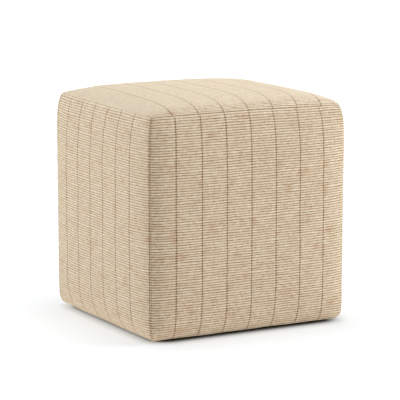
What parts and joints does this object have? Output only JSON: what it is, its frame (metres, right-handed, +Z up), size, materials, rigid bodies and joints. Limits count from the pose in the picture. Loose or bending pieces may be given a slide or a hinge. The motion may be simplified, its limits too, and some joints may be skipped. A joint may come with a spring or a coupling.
{
  "type": "cube pouf stool",
  "caption": "Filled cube seat in ribbed cloth with upright pinstripes, a crowned top, softly bellied sides with plain seams, and a flat dark base that rests on the floor.",
  "frame": {"origin": "middle of the floor face, on the floor", "axes": "+Z up; -Y out of the front, the wider side; +X to the right of someone who looks at the front"},
  "size_m": [0.4264, 0.4016, 0.4225],
  "materials": {
    "ribbed_cloth": "woven ribbed upholstery cloth, sand with a heathered darker fleck and thin dark brown upright pinstripes, matt",
    "base_cloth": "black plain-woven base cloth stretched over a flat board, matt"
  },
  "bodies": {
    "root": {"top_panel": "ribbed_cloth", "front_panel": "ribbed_cloth", "right_panel": "ribbed_cloth", "back_panel": "ribbed_cloth", "left_panel": "ribbed_cloth", "base_panel": "base_cloth"}
  },
  "joints": []
}
